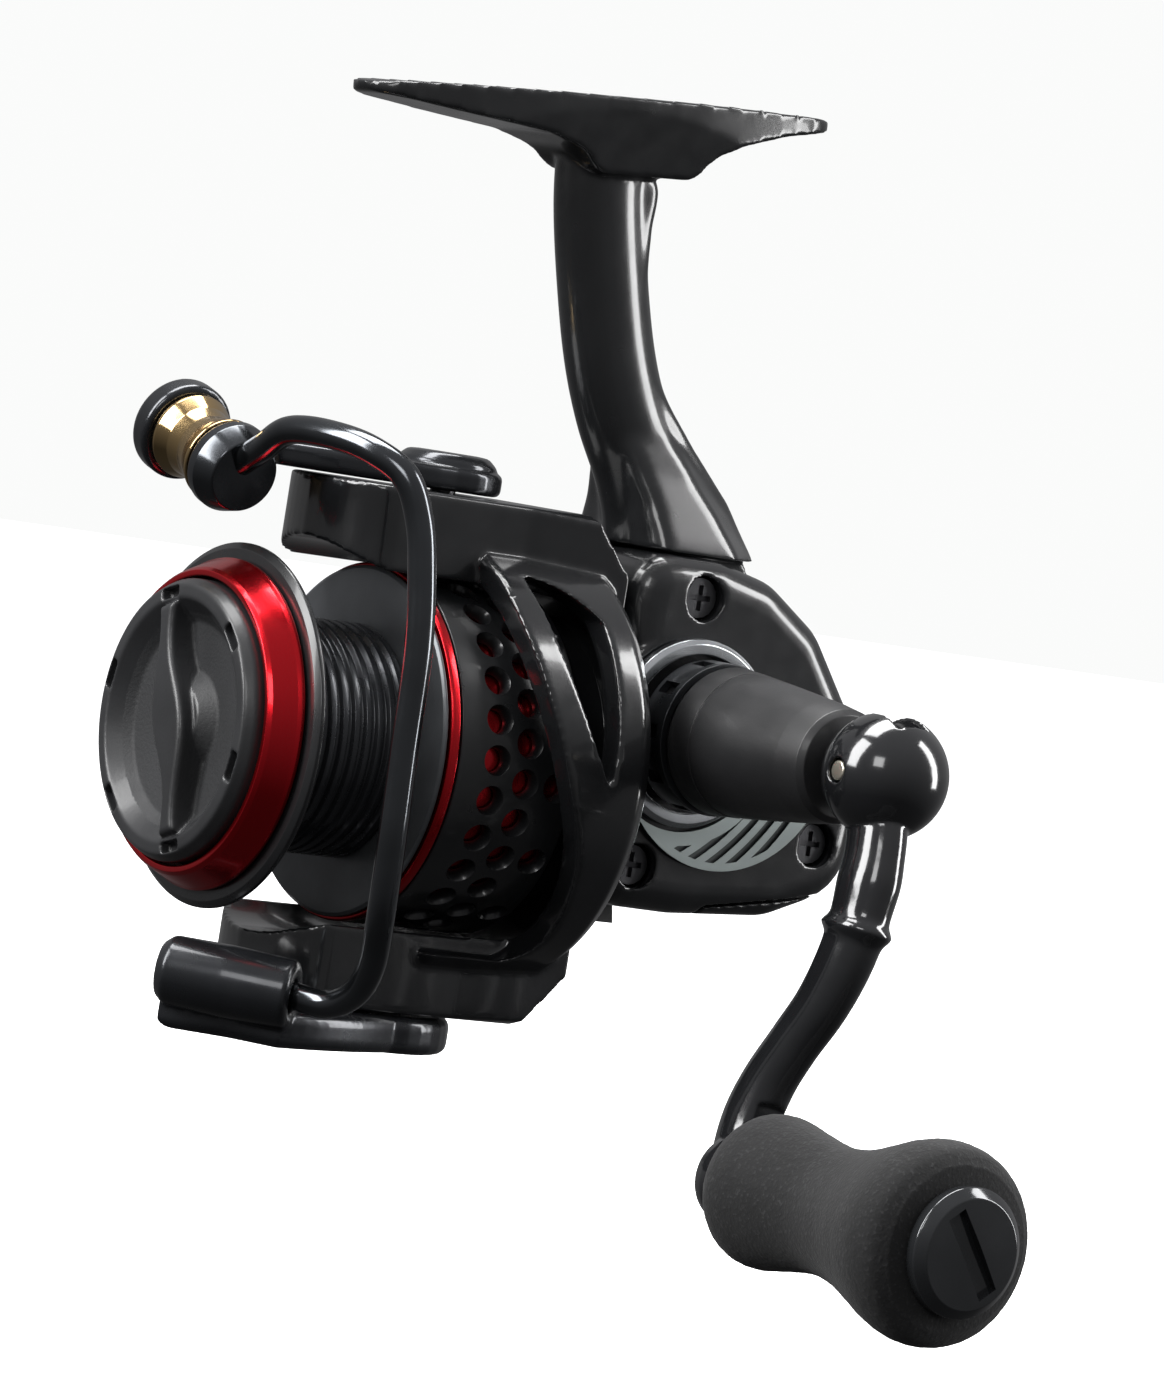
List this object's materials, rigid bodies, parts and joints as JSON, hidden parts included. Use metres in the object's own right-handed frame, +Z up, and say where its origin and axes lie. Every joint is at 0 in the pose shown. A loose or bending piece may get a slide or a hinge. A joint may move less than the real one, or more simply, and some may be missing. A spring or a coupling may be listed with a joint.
{
  "type": "spinning reel",
  "caption": "Open-face fishing reel: rod foot and stem, gear housing, folding crank, flying rotor with bail and line roller, drilled skirted spool and front drag knob.",
  "frame": {"origin": "centre of the flat strip on top of the rod foot", "axes": "+Z up towards the rod, +Y rearwards along the spool axis (drag knob faces -Y), +X towards the crank handle"},
  "size_m": [0.1229, 0.099, 0.1395],
  "materials": {
    "housing_black": "gloss moulded",
    "rear_trim_black": "satin moulded",
    "cover_ring_silver": "turned bright",
    "badge_metal": "brushed, textured",
    "screw_steel": "dark plated",
    "bearing_steel": "ground",
    "plate_dark": "blackened",
    "polished_steel": "polished",
    "gear_brass": "machined",
    "nylon_white": "moulded",
    "slider_zinc": "die-cast",
    "felt_tan": "felt",
    "boss_black": "satin",
    "collar_dark": "gloss",
    "fold_pin_silver": "polished",
    "handle_gunmetal": "gloss gunmetal",
    "grip_foam": "closed-cell foam",
    "cap_black": "gloss",
    "rotor_black": "gloss moulded",
    "bail_arm_gunmetal": "gloss gunmetal",
    "bail_wire_gunmetal": "dark polished",
    "bail_lever_black": "gloss gunmetal",
    "roller_gold": "plated",
    "anodised_red": "red anodised",
    "spool_black": "satin",
    "arbor_grey": "satin anodised",
    "flange_grey": "gloss anodised",
    "drag_knob_black": "satin moulded",
    "lever_black": "satin moulded"
  },
  "bodies": {
    "frame": {"reel_frame": "housing_black", "side_cover": "housing_black", "rear_cover": "rear_trim_black", "cover_ring": "cover_ring_silver", "side_badge": "badge_metal", "cover_screw_1": "screw_steel", "cover_screw_2": "screw_steel", "cover_screw_3": "screw_steel", "right_gear_bearing": "bearing_steel", "left_gear_bearing": "bearing_steel", "one_way_clutch": "bearing_steel", "bearing_plate": "plate_dark", "pinion_bearing": "bearing_steel", "slider_guide_rod": "polished_steel"},
    "crank": {"drive_gear": "gear_brass", "gear_shaft": "polished_steel", "oscillation_pinion": "gear_brass", "handle_boss": "boss_black", "boss_collar": "collar_dark", "fold_pin": "fold_pin_silver"},
    "oscillator": {"oscillation_gear": "nylon_white"},
    "handle": {"handle_arm": "handle_gunmetal", "knob_shaft": "polished_steel"},
    "grip": {"knob_grip": "grip_foam", "knob_cap": "cap_black"},
    "rotor": {"rotor_hub": "rotor_black", "rotor_cage": "rotor_black", "pinion_gear": "gear_brass", "rotor_nut": "polished_steel", "upper_pivot_screw": "screw_steel", "lower_pivot_screw": "screw_steel", "bail_spring": "polished_steel"},
    "bail": {"bail_arm": "bail_arm_gunmetal", "bail_wire": "bail_wire_gunmetal", "bail_lever": "bail_lever_black", "roller_pin": "polished_steel"},
    "roller": {"line_roller": "roller_gold"},
    "shaft": {"main_shaft": "polished_steel", "crosswind_slider": "slider_zinc", "shaft_collar": "polished_steel"},
    "spool": {"spool_lip_ring": "anodised_red", "spool_front_flange": "spool_black", "spool_arbor": "arbor_grey", "spool_rear_flange": "flange_grey", "skirt_trim_ring": "anodised_red", "spool_skirt": "spool_black", "drum_sleeve": "anodised_red", "click_ratchet": "nylon_white", "drag_washer_steel": "polished_steel", "drag_washer_felt": "felt_tan", "drag_pressure_plate": "polished_steel"},
    "drag": {"drag_knob": "drag_knob_black", "drag_nut": "gear_brass"},
    "reverse_lever": {"anti_reverse_lever": "lever_black"}
  },
  "joints": [
    {"name": "handle_spin", "type": "hinge", "parent": "frame", "child": "crank", "pos_m": [0, 0.0201, -0.0748], "axis": [1, 0, 0], "continuous": true},
    {"name": "rotor_spin", "type": "hinge", "parent": "frame", "child": "rotor", "pos_m": [0, 0, -0.0817], "axis": [0, 1, 0], "continuous": true},
    {"name": "oscillator_spin", "type": "hinge", "parent": "frame", "child": "oscillator", "pos_m": [0, 0.03378, -0.07847], "axis": [1, 0, 0], "continuous": true},
    {"name": "handle_fold", "type": "hinge", "parent": "crank", "child": "handle", "pos_m": [0.054, 0.0201, -0.0748], "axis": [0, -1, 0], "range_deg": [0, 90]},
    {"name": "grip_spin", "type": "hinge", "parent": "handle", "child": "grip", "pos_m": [0.07, 0.01079, -0.12454], "axis": [1, 0, 0], "continuous": true},
    {"name": "bail_open", "type": "hinge", "parent": "rotor", "child": "bail", "pos_m": [0, -0.012, -0.0817], "axis": [0, 0, -1], "range_deg": [0, 95]},
    {"name": "roller_spin", "type": "hinge", "parent": "bail", "child": "roller", "pos_m": [-0.0065, -0.0422, -0.0493], "axis": [0.9596, 0.03, -0.2799], "continuous": true},
    {"name": "spool_stroke", "type": "slide", "parent": "frame", "child": "shaft", "axis": [0, 1, 0], "range_m": [-0.001, 0.0055]},
    {"name": "drag_slip", "type": "hinge", "parent": "shaft", "child": "spool", "pos_m": [0, -0.03, -0.0817], "axis": [0, 1, 0], "continuous": true},
    {"name": "drag_turn", "type": "hinge", "parent": "shaft", "child": "drag", "pos_m": [0, -0.042, -0.0817], "axis": [0, 1, 0], "range_deg": [-360, 360]},
    {"name": "reverse_switch", "type": "hinge", "parent": "frame", "child": "reverse_lever", "pos_m": [-0.007, 0.0256, -0.0917], "axis": [0, -1, 0], "range_deg": [0, 25]}
  ],
  "couplings": [
    {"joint": "rotor_spin", "follows": "handle_spin", "ratio": 4},
    {"joint": "oscillator_spin", "follows": "handle_spin", "ratio": -0.54546}
  ]
}
